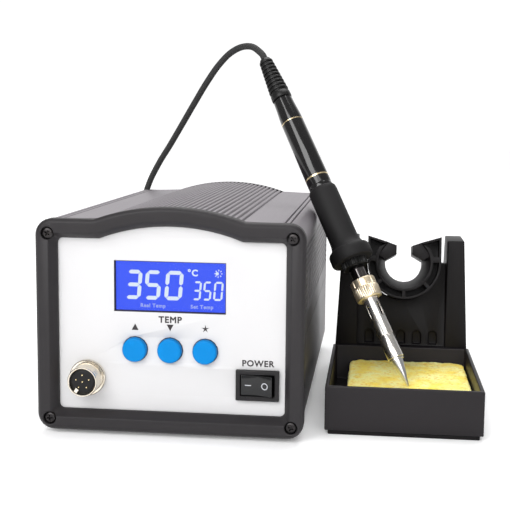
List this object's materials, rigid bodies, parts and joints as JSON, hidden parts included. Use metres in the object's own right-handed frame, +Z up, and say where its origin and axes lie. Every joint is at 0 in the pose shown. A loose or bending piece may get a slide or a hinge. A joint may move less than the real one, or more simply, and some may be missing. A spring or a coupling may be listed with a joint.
{
  "type": "soldering iron station",
  "caption": "Bench soldering station: finned power unit with display, buttons and rocker switch, corded iron leaning over a stand with a sponge tray and open funnel holder.",
  "frame": {"origin": "on the table, in the middle of the rectangle that the unit, the stand and the iron cover, with the stored cord left out", "axes": "+X to the right along the unit's front, +Y back from the front panel, +Z up"},
  "size_m": [0.2252, 0.2753, 0.2014],
  "materials": {
    "anodised_aluminium": "grey-mauve anodised extrusion, satin",
    "charcoal_bezel": "fine-textured charcoal moulding",
    "off_white_panel": "satin off-white printed panel",
    "blackened_steel": "black coated steel",
    "display_lens": "clear window over the display",
    "display_module": "blue backlit display module",
    "circuit_board": "green circuit board",
    "blue_button": "satin cyan-blue plastic",
    "black_plastic": "black moulded plastic",
    "nickel": "warm nickel plate",
    "brass": "bare brass",
    "laminated_iron": "varnished core laminations",
    "copper_winding": "taped copper winding",
    "stand_plastic": "satin black heat-proof moulding",
    "sponge": "yellow cellulose sponge",
    "chrome": "polished chrome plate",
    "black_chrome": "polished black chrome",
    "pale_gold": "knurled pale gold plate",
    "ceramic": "fired ceramic heater",
    "handle_gloss": "glossy black handle",
    "soft_rubber": "soft black rubber",
    "cord_silicone": "black silicone cord"
  },
  "bodies": {
    "base": {"case_upper_shell": "anodised_aluminium", "case_lower_shell": "anodised_aluminium", "heatsink": "anodised_aluminium", "front_bezel": "charcoal_bezel", "front_panel": "off_white_panel", "rear_panel": "blackened_steel", "stand_base_plate": "blackened_steel", "bezel_screw_1": "blackened_steel", "bezel_screw_2": "blackened_steel", "bezel_screw_3": "blackened_steel", "bezel_screw_4": "blackened_steel", "rear_screw_1": "blackened_steel", "rear_screw_2": "blackened_steel", "rear_screw_3": "blackened_steel", "rear_screw_4": "blackened_steel", "display_lens": "display_lens", "display_module": "display_module", "display_board": "circuit_board", "main_board": "circuit_board", "tact_switch_up": "black_plastic", "tact_switch_down": "black_plastic", "tact_switch_set": "black_plastic", "switch_housing": "black_plastic", "socket_pin_carrier": "black_plastic", "mains_inlet": "black_plastic", "fuse_holder": "black_plastic", "main_capacitor": "black_plastic", "socket_shell": "nickel", "socket_nut": "nickel", "plug_body": "nickel", "earth_socket": "brass", "transformer_core": "laminated_iron", "transformer_winding": "copper_winding", "sponge_tray": "stand_plastic", "stand_tower": "stand_plastic", "iron_holder": "stand_plastic", "sponge": "sponge", "unit_foot_1": "soft_rubber", "unit_foot_2": "soft_rubber", "unit_foot_3": "soft_rubber", "unit_foot_4": "soft_rubber", "cord_coil": "cord_silicone", "cord_lead": "cord_silicone"},
    "iron": {"soldering_tip": "chrome", "tip_sleeve": "chrome", "heater_core": "ceramic", "handle_collar": "black_chrome", "handle_crown": "black_plastic", "grip_sleeve": "soft_rubber", "handle_barrel": "handle_gloss", "cord_boot": "soft_rubber", "iron_cord": "cord_silicone"},
    "nut_carrier": {"nut_washer": "nickel"},
    "nut": {"tip_nut": "pale_gold"},
    "up_button": {"button_up": "blue_button"},
    "down_button": {"button_down": "blue_button"},
    "set_button": {"button_set": "blue_button"},
    "rocker": {"power_rocker": "black_plastic"},
    "fuse_knob": {"fuse_cap": "black_plastic"},
    "plug_collar": {"plug_ring": "nickel"}
  },
  "joints": [
    {"name": "up_button_press", "type": "slide", "parent": "base", "child": "up_button", "axis": [0, 1, 0], "range_m": [0, 0.0008], "stiffness_N_per_m": 600, "springref_m": -0.0005},
    {"name": "down_button_press", "type": "slide", "parent": "base", "child": "down_button", "axis": [0, 1, 0], "range_m": [0, 0.0008], "stiffness_N_per_m": 600, "springref_m": -0.0005},
    {"name": "set_button_press", "type": "slide", "parent": "base", "child": "set_button", "axis": [0, 1, 0], "range_m": [0, 0.0008], "stiffness_N_per_m": 600, "springref_m": -0.0005},
    {"name": "power_rocker_tilt", "type": "hinge", "parent": "base", "child": "rocker", "pos_m": [-0.00097, -0.09355, 0.0268], "axis": [0, 0, 1], "range_deg": [0, 18]},
    {"name": "iron_lift", "type": "slide", "parent": "base", "child": "iron", "axis": [0, 0, 1], "range_m": [0, 0.06]},
    {"name": "nut_travel", "type": "slide", "parent": "iron", "child": "nut_carrier", "axis": [0.4135, -0.4077, -0.8141], "range_m": [0, 0.004]},
    {"name": "nut_turn", "type": "hinge", "parent": "nut_carrier", "child": "nut", "pos_m": [0.07243, -0.05445, 0.0177], "axis": [0.4135, -0.4077, -0.8141], "range_deg": [0, 1440]},
    {"name": "fuse_cap_turn", "type": "hinge", "parent": "base", "child": "fuse_knob", "pos_m": [-0.03717, 0.09085, 0.032], "axis": [0, 1, 0], "range_deg": [0, 60]},
    {"name": "plug_ring_turn", "type": "hinge", "parent": "base", "child": "plug_collar", "pos_m": [-0.03517, 0.16335, 0.0094], "axis": [1, 0, 0], "continuous": true}
  ],
  "couplings": [
    {"joint": "nut_turn", "follows": "nut_travel", "rad_per_m": 6283.2}
  ]
}
